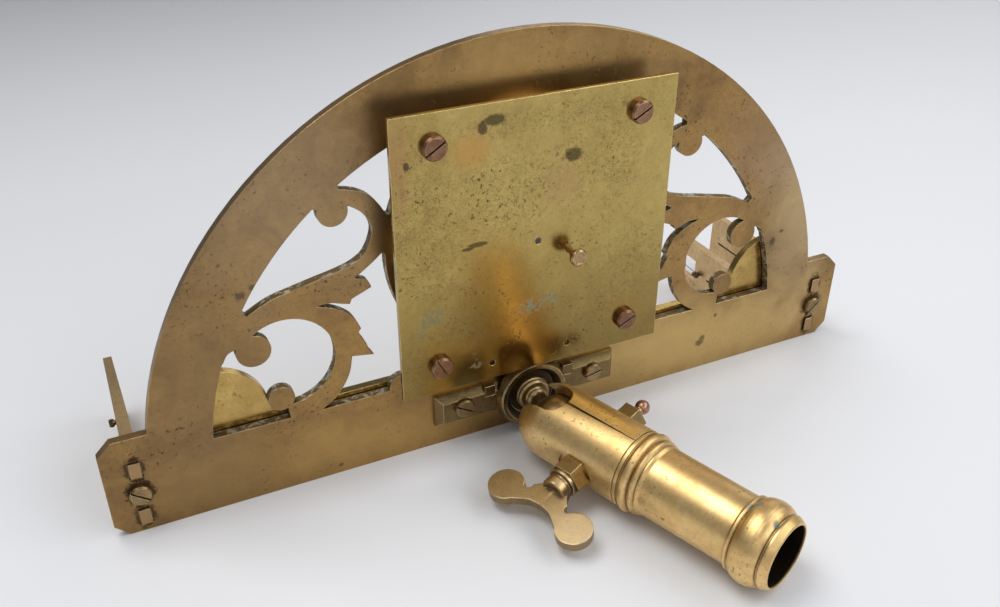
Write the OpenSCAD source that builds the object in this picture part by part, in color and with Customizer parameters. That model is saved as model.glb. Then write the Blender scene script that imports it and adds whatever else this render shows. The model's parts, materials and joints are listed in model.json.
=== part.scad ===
// Graphometer: a surveyor's half-circle with compass box, alidade, sights and ball-and-socket head.
// X runs along the diameter bar, +Y points out of the graduated face, +Z up.
// The origin is under the middle of the bounding box, on the surface the instrument stands on.

/* [Limb] */
// Radius of the graduated half-circle
limb_r = 135; // [125:0.5:145]
// Width of the arc
arc_w = 20.7; // [18:0.1:23]
// Thickness of the limb plate
limb_t = 3.2; // [2.5:0.1:4]
// Height of the diameter bar above the arc centre
bar_top = 13.5; // [12:0.1:15]
// Depth of the diameter bar below the arc centre
bar_drop = 15.8; // [15.6:0.05:17]
// Half of the length over the ears
ear_x = 149.2; // [147:0.1:155]
// Height of the ears above the arc centre
ear_top = 21.9; // [20:0.1:24]
// Width of the cut corners of the ears
ear_cut = 4.7; // [3:0.1:6]

/* [Compass] */
// Height of the compass centre above the arc centre
compass_z = 66.2; // [65:0.1:67]
// Outer radius of the ring in the limb that carries the compass
compass_ring_r = 50.6; // [50:0.1:52]
// Outer radius of the compass box
box_r = 47.4; // [46:0.1:48]
// Depth of the compass box behind the limb
box_depth = 8.9; // [8:0.1:11]
// Side of the square back plate
plate_w = 101.4; // [98:0.1:103]
// Thickness of the square back plate
plate_t = 1.6; // [1.2:0.1:2.2]

/* [Sights] */
// Height of the fixed sight vanes above the limb's back face
fixed_vane_h = 69.5; // [60:0.5:72]
// Height of the alidade's sight vanes above the limb's back face
turning_vane_h = 60; // [52:0.5:62]
// Half of the width of a sight vane
vane_half_w = 12.4; // [11:0.1:13]
// Distance of the fixed vanes from the arc centre
fixed_vane_x = 139; // [138.5:0.1:140]
// Distance of the alidade's vanes from the arc centre
turning_vane_x = 111; // [108:0.1:112]

/* [Ball and socket] */
// Distance of the ball's centre behind the limb
ball_y = 25.6; // [25.4:0.1:28]
// Sideways place of the hub and the ball on the bar
hub_x = 1.6; // [0:0.1:2]
// Radius of the ball
ball_r = 9.7; // [9.5:0.1:9.9]
// Radius of the socket's barrel
barrel_r = 14; // [13.8:0.1:14.3]
// Length from the ball's centre to the joint line of the clamp jaw
barrel_len = 35.4; // [34:0.1:36]
// Length from the ball's centre to the mouth of the socket
mouth_x = 92.5; // [90:0.5:95]
// Radius of the bore that takes the staff
bore_r = 10.8; // [10:0.1:11]
// Depth of the bore that takes the staff
bore_len = 48; // [40:1:49]
// Radius of the rounded rim at the mouth
rim_r = 14.45; // [14.2:0.05:15]
// Angle between the socket and the limb's normal
socket_yaw = 20.2; // [15:0.1:22]
// Angle that the slot of the socket is rolled to one side
socket_roll = 11; // [8:0.5:12]
// Half of the width of the slot that the stem folds into
slot_half_w = 6.6; // [6.2:0.1:7.4]
// Distance from the ball's centre to the clamp screw
clamp_x = 19.6; // [19:0.1:22]

/* [Hidden] */
$fn = 96;

// Fits: a running fit, a snug fit inside one body, and the gap of the clamp slit.
run = 0.05;
snug = 0.02;
slit = 0.4;

// Limb
arc_inner = limb_r - arc_w;
peg_w = 4.5;
peg_h = 7.2;
peg_z = 9.6;
ear_screw_r = 1.5;
stem_r = 4;

// Compass, measured along Y from the limb's back face
plate_back = -box_depth - plate_t;
box_wall_r = 40.5;
glass_seat = -0.2;
glass_t = 1.6;
glass_r = 42;
dial_t = 0.8;
dial_y = -box_depth + dial_t;
needle_y = -3.2;
needle_t = 0.5;
needle_len = 33;
pin_r = 1.2;
screw_dx = 36.7;
screw_dz = 39.9;
knob_x = 12.1;
knob_z = -6;
knob_pin_r = 1.1;

// Sights
vane_foot_t = 4.8;
vane_top_t = 3;
window_half_w = 5.2;
sight_slit = 0.9;
hair_end = 1;
low_window = [21, 33.5];
low_knob_y = 17.5;
low_slit = [17.5, 36];
high_window = [45.2, 56.5];
fixed_window = [45.2, 65];
high_knob_y = 42.4;

// Alidade
alidade_y = limb_t + 0.4;
alidade_t = 3;
vane_seat = alidade_y + alidade_t;
alidade_half_w = 15.3;
lobe_r = 19;
lobe_x = 113.5;
lobe_z = 17.6;
pivot_r = 5;

// Head
bracket_t = 4;
bracket_shift = 1.2;
bracket_half_l = 37.2;
bracket_half_w = 6.4;
bracket_bevel = 2.4;
bracket_screw_x = 26.8;
collar_r = 13.4;
collar_front = 7.6;
neck_r = 3.1;
seat_gap = 0.1;
mouth_cut_r = 10;
slot_end = -0.2;
rim_x = mouth_x - 8.6;
tube_x = 45.4;
tube_end = mouth_x - 15.2;
clamp_r = 2.3;
clamp_seat = 13.2;
hex_r = 6.6;
nut_r = 5.8;
dip = asin((bar_drop - rim_r) / rim_x);

// Depth of the whole, used to put the origin under its middle
front_y = fixed_vane_h;
back_y = -ball_y - mouth_x * cos(socket_yaw) - 12 * sin(socket_yaw);
shift = [0, -(front_y + back_y) / 2, bar_drop];

// Points of an arc in the plane of a drawing
function arc(c, r, a0, a1, n) =
    [for (i = [0:n]) c + r * [cos(a0 + (a1 - a0) * i / n), sin(a0 + (a1 - a0) * i / n)]];

// A smooth curve through hand-set points
function spline_point(p, i, t) =
    let (a = p[max(i - 1, 0)], b = p[i], c = p[i + 1], d = p[min(i + 2, len(p) - 1)])
    0.5 * (2 * b + t * (c - a) + t * t * (2 * a - 5 * b + 4 * c - d)
        + t * t * t * (3 * b - a - 3 * c + d));
function curve(p, n = 5) =
    concat([for (i = [0:len(p) - 2]) for (k = [0:n - 1]) spline_point(p, i, k / n)],
        [p[len(p) - 1]]);

// Frames of the moving groups
module placed() {
    translate(shift) children();
}

module back_face() {
    rotate([90, 0, 0]) children();
}

module both_sides() {
    children();
    mirror([1, 0, 0]) children();
}

module socket_frame() {
    placed() translate([hub_x, -ball_y, 0]) rotate([0, 0, socket_yaw - 90]) rotate([0, dip, 0])
        rotate([socket_roll, 0, 0]) children();
}

module hub_frame() {
    placed() translate([hub_x, 0, 0]) children();
}

module compass_frame() {
    placed() translate([0, 0, compass_z]) children();
}

// A disc or rod along Y from y0 to y1
module rod_y(r, y0, y1) {
    translate([0, y1, 0]) rotate([90, 0, 0]) cylinder(r = r, h = y1 - y0);
}

module box_between(lo, hi) {
    translate(lo) cube(hi - lo);
}

// Slotted cheese-head screw along Y, its head towards -Y, its seat at y = 0
module slotted_screw(head_r, head_h, shank_r, shank_len, turn) {
    difference() {
        rotate([90, 0, 0]) rotate_extrude()
            polygon([[0, -shank_len], [shank_r, -shank_len], [shank_r, 0], [head_r, 0],
                [head_r, head_h * 0.7], [head_r * 0.86, head_h], [0, head_h]]);
        rotate([0, turn, 0]) translate([-head_r - 1, -head_h - 1, -0.35])
            cube([2 * head_r + 2, 1 + head_h * 0.45, 0.7]);
    }
}

// ---------------------------------------------------------------- limb

// Opening between the arc and the upper scroll
module upper_opening() {
    difference() {
        polygon(concat([[-108, 67.5], [-89, 89], [-75.6, 89], [-66.6, 86]],
            curve([[-61.2, 87], [-57, 83.6], [-54.3, 77.6], [-56.8, 70.4], [-60.8, 67],
                [-66.6, 65], [-74.3, 63.4], [-82, 61.7], [-89.6, 59.8], [-96.9, 56.2]])));
        translate([-66.6, 86]) circle(r = 5);
    }
}

// Opening above the scroll, between the arc and the compass ring
module top_opening() {
    difference() {
        polygon(concat([[-30, 128], [-64.1, 106], [-64.1, 93.2]],
            curve([[-64.1, 93.2], [-58.9, 91.8], [-55, 89.6], [-51.6, 85.9], [-49.1, 81.5]]),
            [[-30, 80], [-10, 110]]));
        translate([0, compass_z]) circle(r = compass_ring_r);
    }
}

// Round opening of the C scroll, joined to the corner opening
module outer_opening() {
    difference() {
        union() {
            translate([-86.4, 35.5]) circle(r = 16.5);
            polygon(concat([[-118, bar_top], [-87.4, bar_top], [-88, 20], [-91.8, 36]],
                [[-96.4, 43]], curve([[-101.2, 45.2], [-104.4, 44.2], [-106.5, 41]]),
                [[-118, 40]]));
        }
        translate([-96.4, 42.9]) circle(r = 5.7);
        translate([-89.6, 22.1]) circle(r = 4.5);
    }
}

// Opening between the C scroll with its leaves, the compass ring and the bar
module inner_opening() {
    difference() {
        polygon(concat(curve([[-76.5, bar_top], [-71.4, 16.9], [-68, 21.2], [-65.6, 26.1], [-64.4, 31.9]]),
            curve([[-56.7, 30.6], [-58.4, 33.2], [-59.3, 36.2], [-61.6, 40.6]]),
            curve([[-60.5, 42], [-62, 45.6], [-64.2, 48.6], [-68.8, 51.8], [-74.8, 54.1]]),
            curve([[-74.8, 54.1], [-70.2, 54.2], [-66.6, 53.1], [-63.6, 52.2]]),
            [[-62.9, 53.9]],
            curve([[-55.9, 56.8], [-57.2, 59.6], [-61.3, 61.3]]),
            curve([[-61.3, 61.3], [-57.9, 63.6], [-54.5, 66], [-51.6, 68.4]]),
            [[-44, 62], [-40, 44], [-32, 27], [-37, 22], [-42.5, bar_top]]));
        translate([0, compass_z]) circle(r = compass_ring_r);
        translate([-47.2, 14.2]) circle(r = 4.7);
    }
}

module limb_outline() {
    difference() {
        union() {
            intersection() {
                circle(r = limb_r);
                translate([-limb_r, 0]) square([2 * limb_r, limb_r]);
            }
            polygon([[-ear_x, ear_cut - bar_drop], [ear_cut - ear_x, -bar_drop],
                [ear_x - ear_cut, -bar_drop], [ear_x, ear_cut - bar_drop],
                [ear_x, ear_top - ear_cut], [ear_x - ear_cut, ear_top],
                [ear_cut - ear_x, ear_top], [-ear_x, ear_top - ear_cut]]);
        }
        intersection() {
            circle(r = arc_inner);
            both_sides() {
                upper_opening();
                top_opening();
                outer_opening();
                inner_opening();
            }
        }
        translate([0, compass_z]) circle(r = glass_r + 2.5);
    }
}

module limb() {
    color("#8a6a3c") placed() difference() {
        translate([0, limb_t, 0]) back_face() linear_extrude(limb_t) limb_outline();
        translate([hub_x, 0, 0]) rod_y(stem_r + run, -1, limb_t + 1);
        both_sides() translate([fixed_vane_x, 0, 0]) {
            rod_y(ear_screw_r + snug, -1, limb_t + 1);
            for (side = [-1, 1])
                box_between([-peg_w / 2 - snug, -1, side * peg_z - peg_h / 2 - snug],
                    [peg_w / 2 + snug, limb_t + 1, side * peg_z + peg_h / 2 + snug]);
        }
        for (side = [-1, 1])
            translate([bracket_shift + side * bracket_screw_x, 0, 1]) rod_y(1.6, -1, limb_t - 0.6);
    }
}

// ---------------------------------------------------------------- compass

module corner_screws() {
    for (sx = [-1, 1])
        for (sz = [-1, 1])
            translate([sx * screw_dx, 0, sz * screw_dz]) children();
}

// Outline of the case with the four arms and bosses for the plate's screws
module case_outline() {
    circle(r = box_r);
    for (side = [-1, 1])
        rotate(side * atan(screw_dz / screw_dx)) square([108, 8], center = true);
    for (sx = [-1, 1])
        for (sz = [-1, 1])
            translate([sx * screw_dx, sz * screw_dz]) circle(r = 4.2);
}

module compass_box() {
    color("#9a7c40") compass_frame() difference() {
        union() {
            translate([0, -3.5, 0]) back_face() linear_extrude(box_depth - 3.5) case_outline();
            rod_y(box_r, -3.5, 0);
            rod_y(glass_r + 2.5 - snug, 0, limb_t - 0.3);
        }
        rod_y(box_wall_r, -box_depth - 1, limb_t);
        rod_y(glass_r, glass_seat, limb_t);
        corner_screws() rod_y(1.5 + snug, -box_depth - 1, 0);
    }
}

module back_plate() {
    color("#a08a3e") compass_frame() difference() {
        box_between([-plate_w / 2, plate_back, -plate_w / 2], [plate_w / 2, -box_depth, plate_w / 2]);
        corner_screws() rod_y(1.5 + snug, plate_back - 1, 0);
        rod_y(pin_r + snug, plate_back - 1, 0);
        translate([knob_x, 0, knob_z]) rod_y(knob_pin_r + run, plate_back - 1, 0);
        for (x = [-17.1, 12.7])
            translate([x, 0, -44.3]) rod_y(1.1, plate_back - 1, 0);
    }
}

module plate_screws() {
    turns = [-32, -29, 62, -27];
    color("#9c5a3a") compass_frame()
        for (i = [0:3])
            translate([(i % 2 * 2 - 1) * screw_dx, plate_back, (i < 2 ? 1 : -1) * screw_dz])
                slotted_screw(4.1, 2.6, 1.5, 5.5, turns[i]);
}

module compass_dial() {
    color("#cfc8a8") compass_frame() difference() {
        rod_y(box_wall_r - snug, -box_depth, dial_y);
        rod_y(pin_r + snug, -box_depth - 1, 0);
        translate([knob_x, 0, knob_z]) rod_y(knob_pin_r + run, -box_depth - 1, 0);
    }
}

module degree_ring() {
    color("#d2ccb0") compass_frame() difference() {
        rod_y(box_wall_r - snug, dial_y, -3.4);
        rod_y(35.5, dial_y - 1, 0);
    }
}

module needle_pivot() {
    color("#6f6f72") compass_frame() rotate([-90, 0, 0]) rotate_extrude()
        polygon([[0, plate_back], [pin_r, plate_back], [pin_r, -3.7], [0.15, -2.7], [0, -2.7]]);
}

module compass_needle() {
    hub_w = 2.4;
    color("#39414e") compass_frame() rotate([0, 28, 0]) difference() {
        translate([0, needle_y + needle_t, 0]) rotate([90, 0, 0]) linear_extrude(needle_t)
            polygon([[-needle_len, 0], [-24, 1.5], [-hub_w, hub_w], [hub_w, hub_w], [24, 1.5],
                [needle_len, 0], [24, -1.5], [hub_w, -hub_w], [-hub_w, -hub_w], [-24, -1.5]]);
        rod_y(1.9, needle_y - 1, needle_y + 1);
    }
}

module needle_cap() {
    color("#b08d3c") compass_frame() rotate([-90, 0, 0]) rotate_extrude()
        polygon([[0, -1.7], [0, -2.6], [0.4, -2.6], [pin_r + run, -3.6], [pin_r + run, -4],
            [2.6, -4], [2.6, needle_y], [1.9 - snug, needle_y], [1.9 - snug, -2.4], [1.2, -1.7]]);
}

module compass_glass() {
    color([0.8, 0.9, 0.9, 0.35]) compass_frame()
        rod_y(glass_r - snug, glass_seat, glass_seat + glass_t);
}

module glass_ring() {
    color("#a98a45") compass_frame() difference() {
        rod_y(glass_r - snug, glass_seat + glass_t, limb_t - 0.4);
        rod_y(38.6, 0, limb_t);
    }
}

module needle_lifter() {
    lift_y = dial_y + 0.5;
    color("#a88c4a") compass_frame() translate([0, lift_y + 0.8, 0]) back_face()
        linear_extrude(0.8) difference() {
            union() {
                circle(r = 5);
                rotate(atan2(knob_z, knob_x)) translate([0, -1.6]) square([norm([knob_x, knob_z]), 3.2]);
                translate([knob_x, knob_z]) circle(r = 2.4);
            }
            circle(r = 2);
            translate([knob_x, knob_z]) circle(r = knob_pin_r - 0.2 + snug);
        }
}

module lock_knob() {
    color("#b08b4a") compass_frame() translate([knob_x, 0, knob_z]) rotate([-90, 0, 0])
        rotate_extrude()
            polygon([[0, -17.7], [1.9, -17.7], [2.1, -18], [2.6, -18], [3.1, -17.5], [3.1, -16.3],
                [2.4, -15.6], [1.7, -15.3], [1.7, -13.7], [knob_pin_r, -13.4],
                [knob_pin_r, dial_y + 0.5],
                [knob_pin_r - 0.2, dial_y + 0.5], [knob_pin_r - 0.2, dial_y + 1.3], [0, dial_y + 1.3]]);
}

// ---------------------------------------------------------------- sights

// Half of a vane's thickness at height y, for a vane standing between y0 and top
function vane_half_t(y, y0, top) =
    vane_foot_t / 2 - (vane_foot_t - vane_top_t) / 2 * (y - y0) / (top - y0);

// Sight vane standing along +Y on a seat at y0, with two tenons below the seat. It has a slit, a
// window or both, given from low to high; a window has a hair, with its screw's hole at knob_y.
module vane(y0, top, tenon, slit_span = [0, 0], window = [0, 0], knob_y = 0) {
    corner = 3.5;
    difference() {
        union() {
            intersection() {
                union() {
                    box_between([-peg_w, y0, -vane_half_w], [peg_w, top - corner, vane_half_w]);
                    box_between([-peg_w, y0, corner - vane_half_w],
                        [peg_w, top, vane_half_w - corner]);
                    for (side = [-1, 1])
                        translate([-peg_w, top - corner, side * (vane_half_w - corner)])
                            rotate([0, 90, 0]) cylinder(r = corner, h = 2 * peg_w);
                }
                translate([0, 0, -vane_half_w - 1]) linear_extrude(2 * vane_half_w + 2)
                    polygon([[-vane_foot_t / 2, y0], [vane_foot_t / 2, y0],
                        [vane_top_t / 2, top], [-vane_top_t / 2, top]]);
            }
            for (side = [-1, 1]) {
                box_between([-peg_w / 2, y0 - 0.6 * tenon, side * peg_z - peg_h / 2],
                    [peg_w / 2, y0 + 1, side * peg_z + peg_h / 2]);
                box_between([-1.75, y0 - tenon, side * peg_z - 2.85],
                    [1.75, y0, side * peg_z + 2.85]);
            }
        }
        rod_y(ear_screw_r + snug, y0 - tenon - 1, y0 + 8);
        if (slit_span[1] > slit_span[0])
            box_between([-peg_w, slit_span[0], -sight_slit / 2],
                [peg_w, slit_span[1], sight_slit / 2]);
        if (window[1] > window[0]) {
            box_between([-peg_w, window[0], -window_half_w], [peg_w, window[1], window_half_w]);
            translate([-peg_w, knob_y, 0]) rotate([0, 90, 0])
                cylinder(r = 0.9 + snug, h = 2 * peg_w);
            for (y = [window[0] - hair_end, window[1] + hair_end])
                translate([-peg_w, y, 0]) rotate([0, 90, 0]) cylinder(r = 0.35, h = 2 * peg_w);
        }
    }
}

// Hair stretched down the middle of a window, with its ends turned into the vane
module hair(y0, top, window) {
    low = window[0] - hair_end - y0;
    high = window[1] + hair_end - y0;
    translate([-vane_foot_t / 2 - 0.16, y0, 0])
        rotate([0, 0, -atan((vane_foot_t - vane_top_t) / 2 / (top - y0))]) {
            rod_y(0.15, low - 0.1, high + 0.1);
            for (y = [low, high])
                translate([0, y, 0]) rotate([0, 90, 0]) cylinder(r = 0.3, h = 1.6);
        }
}

// Small two-lobed thumb screw that stretches the hair
module hair_screw(y0, top, y) {
    translate([-vane_half_t(y, y0, top) - 0.02, y, 0]) {
        rotate([0, 90, 0]) translate([0, 0, -1.4]) cylinder(r = 0.9, h = 4);
        for (side = [-1, 1])
            translate([-1.8, side * 0.85, -0.6]) cylinder(r = 0.95, h = 1.2);
    }
}

module fixed_vane_left() {
    color("#b3925a") placed() translate([-fixed_vane_x, 0, 0])
        vane(limb_t, fixed_vane_h, limb_t + 0.8, low_slit, fixed_window, high_knob_y);
}

module fixed_vane_right() {
    color("#b3925a") placed() translate([fixed_vane_x, 0, 0])
        vane(limb_t, fixed_vane_h, limb_t + 0.8, [37, 63.5], low_window, low_knob_y);
}

module fixed_vane_screws() {
    color("#8f7342") placed()
        for (side = [-1, 1])
            translate([side * fixed_vane_x, 0, 0])
                slotted_screw(3.7, 2.4, ear_screw_r, limb_t + 7, side > 0 ? -40 : 38);
}

module fixed_hairs() {
    color("#3a3a3a") placed() {
        translate([-fixed_vane_x, 0, 0]) hair(limb_t, fixed_vane_h, fixed_window);
        translate([fixed_vane_x, 0, 0]) hair(limb_t, fixed_vane_h, low_window);
    }
}

module fixed_hair_screws() {
    color("#4a3c26") placed() {
        translate([-fixed_vane_x, 0, 0]) hair_screw(limb_t, fixed_vane_h, high_knob_y);
        translate([fixed_vane_x, 0, 0]) hair_screw(limb_t, fixed_vane_h, low_knob_y);
    }
}

// ---------------------------------------------------------------- alidade

module alidade_outline() {
    difference() {
        union() {
            translate([-119, -alidade_half_w]) square([238, 2 * alidade_half_w]);
            both_sides() {
                translate([lobe_x, lobe_z]) circle(r = lobe_r);
                translate([82, -alidade_half_w]) square([40, 2 * alidade_half_w + 1.4]);
            }
        }
        difference() {
            square(400, center = true);
            circle(r = limb_r - 2);
        }
        circle(r = pivot_r + run);
    }
}

module alidade() {
    color("#a5884c") hub_frame() difference() {
        translate([0, alidade_y + alidade_t, 0]) back_face() linear_extrude(alidade_t)
            alidade_outline();
        both_sides() translate([turning_vane_x, 0, 0]) {
            rod_y(ear_screw_r + snug, alidade_y - 1, alidade_y + alidade_t + 1);
            rod_y(3.9, alidade_y - 1, alidade_y + 1.3);
            for (side = [-1, 1])
                box_between([-peg_w / 2 - snug, 0, side * peg_z - peg_h / 2 - snug],
                    [peg_w / 2 + snug, 10, side * peg_z + peg_h / 2 + snug]);
        }
    }
}

module turning_vane_left() {
    color("#b3925a") hub_frame() translate([-turning_vane_x, 0, 0])
        vane(vane_seat, turning_vane_h, alidade_t - 0.2, [37, 55], low_window, low_knob_y);
}

module turning_vane_right() {
    color("#b3925a") hub_frame() translate([turning_vane_x, 0, 0])
        vane(vane_seat, turning_vane_h, alidade_t - 0.2, low_slit, high_window, high_knob_y);
}

module turning_vane_screws() {
    color("#8f7342") hub_frame()
        for (side = [-1, 1])
            translate([side * turning_vane_x, alidade_y + 1.3, 0])
                slotted_screw(3.7, 1.1, ear_screw_r, 9, side * 25);
}

module turning_hairs() {
    color("#3a3a3a") hub_frame() {
        translate([-turning_vane_x, 0, 0]) hair(vane_seat, turning_vane_h, low_window);
        translate([turning_vane_x, 0, 0]) hair(vane_seat, turning_vane_h, high_window);
    }
}

module turning_hair_screws() {
    color("#4a3c26") hub_frame() {
        translate([-turning_vane_x, 0, 0]) hair_screw(vane_seat, turning_vane_h, low_knob_y);
        translate([turning_vane_x, 0, 0]) hair_screw(vane_seat, turning_vane_h, high_knob_y);
    }
}

// ---------------------------------------------------------------- head

module bracket() {
    color("#8b7138") placed() translate([bracket_shift, 0, 0]) difference() {
        intersection() {
            translate([0, 0, -20]) linear_extrude(40)
                polygon([[-bracket_half_l, 0], [bracket_half_l, 0], [bracket_half_l, -1.4],
                    [bracket_half_l - bracket_bevel, -bracket_t],
                    [bracket_bevel - bracket_half_l, -bracket_t], [-bracket_half_l, -1.4]]);
            translate([-50, 0, 0]) rotate([90, 0, 90]) linear_extrude(100)
                polygon([[0, -bracket_half_w], [0, bracket_half_w], [-1.4, bracket_half_w],
                    [-bracket_t, bracket_half_w - bracket_bevel],
                    [-bracket_t, bracket_bevel - bracket_half_w], [-1.4, -bracket_half_w]]);
        }
        translate([hub_x - bracket_shift, 0, 0]) rod_y(stem_r + run, -10, 1);
        for (side = [-1, 1]) {
            translate([side * bracket_screw_x, 0, 1]) rod_y(1.6 + snug, -10, 1);
            translate([side * 16.2, 0, 4.6]) box_between([-2.1, -2.6, -2.1], [2.1, 1, 2.1]);
            translate([side * 16.2, 0, 4.6]) box_between([-2.1, -10, -2.1], [2.1, 0, 2.1]);
        }
    }
}

module bracket_screws() {
    color("#8a6a34") placed()
        for (side = [-1, 1])
            translate([bracket_shift + side * bracket_screw_x, -bracket_t, 1])
                slotted_screw(3.7, 2.2, 1.6 - snug, bracket_t + limb_t - 0.8, side > 0 ? -12 : 30);
}

module steady_pins() {
    color("#7d6330") placed()
        for (side = [-1, 1])
            translate([bracket_shift + side * 16.2, 0, 4.6])
                box_between([-2.08, -bracket_t + 0.1, -2.08], [2.08, 0, 2.08]);
}

module hub_collar() {
    color("#8f7a3c") hub_frame() rotate([90, 0, 0]) difference() {
        rotate_extrude()
            polygon([[5, bracket_t], [collar_r + 0.8, bracket_t], [collar_r + 0.8, bracket_t + 0.9],
                [collar_r, collar_front - 0.5], [collar_r - 0.4, collar_front],
                [collar_r - 1.8, collar_front], [collar_r - 2.6, collar_front - 0.6],
                [9, bracket_t + 0.9], [6.6, bracket_t + 0.6], [5, bracket_t + 0.6]]);
    }
}

module ball_stem() {
    root_y = 8.3;
    color("#9a7a44") hub_frame() rotate([90, 0, 0]) union() {
        translate([0, 0, ball_y]) sphere(r = ball_r);
        rotate_extrude()
            polygon([[2.2, 0.2 - limb_t], [stem_r, 0.2 - limb_t], [stem_r, root_y],
                [3.5, root_y + 0.5], [3.9, root_y + 1], [3.9, root_y + 1.6], [3.3, root_y + 2.2],
                [neck_r, root_y + 2.8], [neck_r, ball_y - ball_r + 1], [0, ball_y - ball_r + 1],
                [0, 4], [2.2, 4]]);
    }
}

module stem_nut() {
    color("#7c6544") hub_frame() rotate([90, 0, 0]) rotate_extrude()
        polygon([[stem_r + snug, 4.7], [6.6, 4.7], [6.6, 5.9], [6, 6.3], [6.3, 6.8], [6.3, 7.4],
            [5.6, 8], [stem_r + snug, 8]]);
}

module pivot_screw() {
    head_y = alidade_y + alidade_t + 1.1;
    color("#8f7342") hub_frame() difference() {
        rotate([-90, 0, 0]) rotate_extrude()
            polygon([[0, -3.4], [2.2 - snug, -3.4], [2.2 - snug, limb_t + run],
                [pivot_r, limb_t + run],
                [pivot_r, head_y - 0.05], [8.4, head_y - 0.05], [8.4, head_y + 1.6], [7.2, head_y + 2.4],
                [0, head_y + 2.4]]);
        box_between([-9, head_y + 1.2, -0.6], [9, head_y + 3, 0.6]);
    }
}

module pivot_washer() {
    color("#a0823f") hub_frame() difference() {
        rod_y(9.6, alidade_y + alidade_t + 0.1, alidade_y + alidade_t + 1);
        rod_y(pivot_r + snug, 0, 12);
    }
}

// Outer form of the socket from the jaw's joint line to the mouth
function socket_profile() = concat(
    [[barrel_len, 0], [barrel_len, 13.6], [barrel_len + 0.3, 13.6], [barrel_len + 0.3, 13.95],
        [barrel_len + 1.5, 13.95], [barrel_len + 1.6, 13.6]],
    arc([barrel_len + 3.6, 12.8], 1.75, 150, 20, 6),
    [[barrel_len + 5.5, 12.9]],
    arc([barrel_len + 6.8, 12.5], 1.1, 150, 20, 4),
    [[barrel_len + 8.2, 12.5], [barrel_len + 8.4, 12.9], [barrel_len + 8.9, 12.9]],
    [[tube_x, 12.35], [tube_end, 12.1], [tube_end, 12.6]],
    arc([tube_end + 0.9, 12.4], 0.7, 150, 30, 3),
    [[tube_end + 2, 12.2]],
    [for (i = [0:12]) let (a = 170 - i * 160 / 12)
        [rim_x + 5.1 * cos(a), rim_r - 2.75 + 2.75 * sin(a)]],
    [[mouth_x - 3.2, 12.1], [mouth_x - 2.8, 12.7], [mouth_x - 2.2, 12.7], [mouth_x - 0.3, 11.7],
        [mouth_x, 11.3], [mouth_x, 0]]);

module along_x() {
    rotate([0, 90, 0]) rotate([0, 0, 90]) children();
}

// Domed barrel around the ball, solid, as far as end_x
module barrel_blank(end_x) {
    along_x() rotate_extrude()
        polygon(concat(arc([0, 0], barrel_r, -90, 0, 20), [[barrel_r, end_x], [0, end_x]]));
}

// What is cut from both jaws: the ball's seat, the mouth, the slot and the clamp screw's way
module jaw_cuts() {
    along_x() rotate_extrude() polygon(arc([0, 0], ball_r + seat_gap, -90, 90, 24));
    translate([-20, 0, 0]) along_x() cylinder(r = mouth_cut_r, h = 14);
    box_between([-20, -slot_half_w, 0], [slot_end, slot_half_w, 20]);
    translate([slot_end, 0, 0]) cylinder(r = slot_half_w, h = 20);
    translate([clamp_x, 20, 0]) rotate([90, 0, 0]) cylinder(r = clamp_r + run, h = 40);
    for (side = [0, 1])
        mirror([0, side, 0]) translate([clamp_x, clamp_seat, 0]) rotate([-90, 0, 0])
            cylinder(r = 7, h = 8);
}

// One of the two jaws, as far along the barrel as end_x. Its flat face lies at y0 at the ball's
// centre and at y1 at the joint line, and the jaw is on the side of y = side.
module jaw(side, y0, y1, end_x) {
    difference() {
        intersection() {
            barrel_blank(end_x);
            translate([0, 0, -20]) linear_extrude(40)
                polygon([[-20, y0], [0, y0], [barrel_len, y1], [40, y1], [40, side], [-20, side]]);
        }
        jaw_cuts();
    }
}

module socket_tube() {
    color("#ab8440") socket_frame() union() {
        difference() {
            along_x() rotate_extrude() polygon([for (p = socket_profile()) [p[1], p[0]]]);
            translate([mouth_x - bore_len, 0, 0]) along_x() cylinder(r = bore_r, h = bore_len + 1);
        }
        jaw(20, slit / 2, slit / 2, barrel_len);
    }
}

module clamp_jaw() {
    color("#ab8440") socket_frame() jaw(-20, -1.1, -0.1, barrel_len - 0.08);
}

// Hexagon of corner radius r along -Y of the socket's frame, from y0 to y1
module hexagon(r, y0, y1) {
    translate([clamp_x, y1, 0]) rotate([90, 0, 0]) cylinder(r = r, h = y1 - y0, $fn = 6);
}

module clamp_nut() {
    color("#a8823e") socket_frame() difference() {
        hexagon(nut_r, clamp_seat, clamp_seat + 5.4);
        translate([clamp_x, 30, 0]) rotate([90, 0, 0]) cylinder(r = clamp_r + run, h = 40);
    }
}

module clamp_screw() {
    tip = clamp_seat + 10.6;
    color("#9a5f44") socket_frame() translate([clamp_x, 0, 0]) rotate([-90, 0, 0]) rotate_extrude()
        polygon(concat([[0, -23], [clamp_r, -23], [clamp_r, clamp_seat + 6.4], [1.7, clamp_seat + 7]],
            arc([0, tip], 2.7, -50, 90, 10)));
}

module clamp_collar() {
    color("#b08b42") socket_frame() difference() {
        hexagon(hex_r, -clamp_seat - 6, -clamp_seat - 0.1);
        translate([clamp_x, 0, 0]) rotate([90, 0, 0]) cylinder(r = clamp_r + snug, h = 40);
    }
}

module wing_outline() {
    both_sides() difference() {
        union() {
            translate([15, 31.9]) circle(r = 6.4);
            polygon(concat([[0, 20.4]],
                curve([[3.6, 20.4], [5, 23.6], [8, 26.8], [10.4, 29.4]]),
                [[15, 31.9]],
                curve([[12, 37], [8.4, 34.6], [4.4, 32.2], [0, 31.5]])));
        }
        translate([8.9, 27.2]) circle(r = 1.6);
    }
}

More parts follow.
